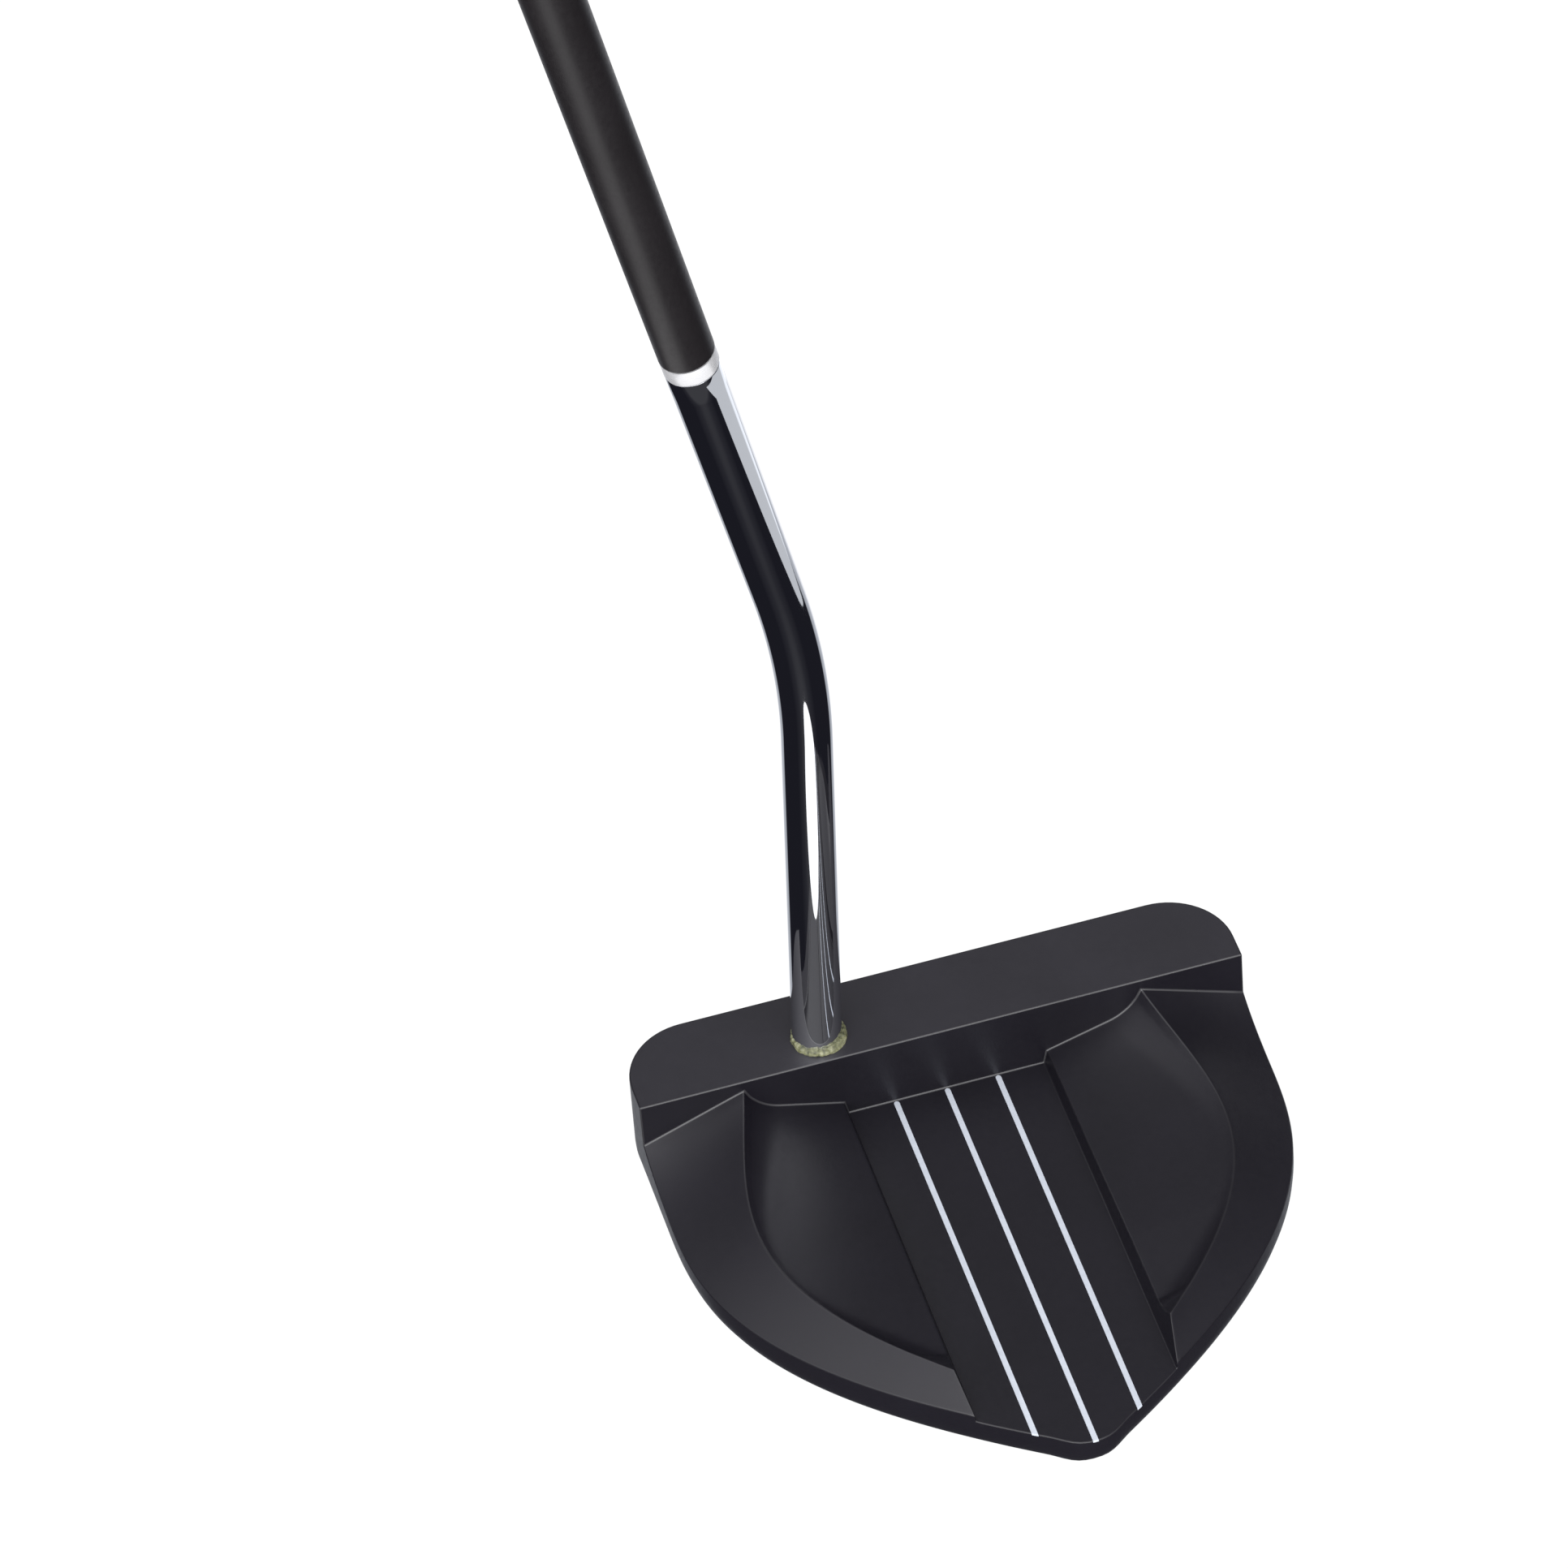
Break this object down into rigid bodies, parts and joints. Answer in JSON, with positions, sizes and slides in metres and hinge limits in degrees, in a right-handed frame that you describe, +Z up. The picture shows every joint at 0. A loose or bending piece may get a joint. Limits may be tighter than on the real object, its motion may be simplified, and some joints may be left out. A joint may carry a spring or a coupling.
{
  "type": "mallet putter",
  "caption": "Right-handed mallet putter: a black milled head with a sighting channel and white lines, a bent chromed lower shaft, a black upper shaft and a pistol grip.",
  "frame": {"origin": "centre of the flat on the sole, where the head rests on the green", "axes": "+Z up from the sole, +X towards the toe, +Y towards the ball (out of the face); the shaft leans to the heel (-X)"},
  "size_m": [0.2414, 0.1122, 0.857],
  "materials": {
    "head_black": "satin black anodised, fine blasted grain",
    "insert_polymer": "matt moulded polymer",
    "foam_tape": "double-sided foam tape",
    "weight_steel": "turned stainless steel",
    "line_white": "filled satin white paint",
    "epoxy": "cured clear yellowish adhesive",
    "shaft_chrome": "mirror chrome plate on steel tube",
    "coupling_silver": "turned satin silver",
    "shaft_black": "satin black painted carbon fibre",
    "paper_tape": "double-sided paper tape",
    "grip_rubber": "matt moulded rubber"
  },
  "bodies": {
    "root": {"head_body": "head_black", "face_insert": "insert_polymer", "face_insert_tape": "foam_tape", "heel_sole_weight": "weight_steel", "toe_sole_weight": "weight_steel", "alignment_line_heel": "line_white", "alignment_line_centre": "line_white", "alignment_line_toe": "line_white", "epoxy_bead": "epoxy", "lower_shaft": "shaft_chrome", "shaft_coupling": "coupling_silver", "upper_shaft": "shaft_black", "grip_tape": "paper_tape", "grip_body": "grip_rubber", "grip_end_cap": "grip_rubber"}
  },
  "joints": []
}
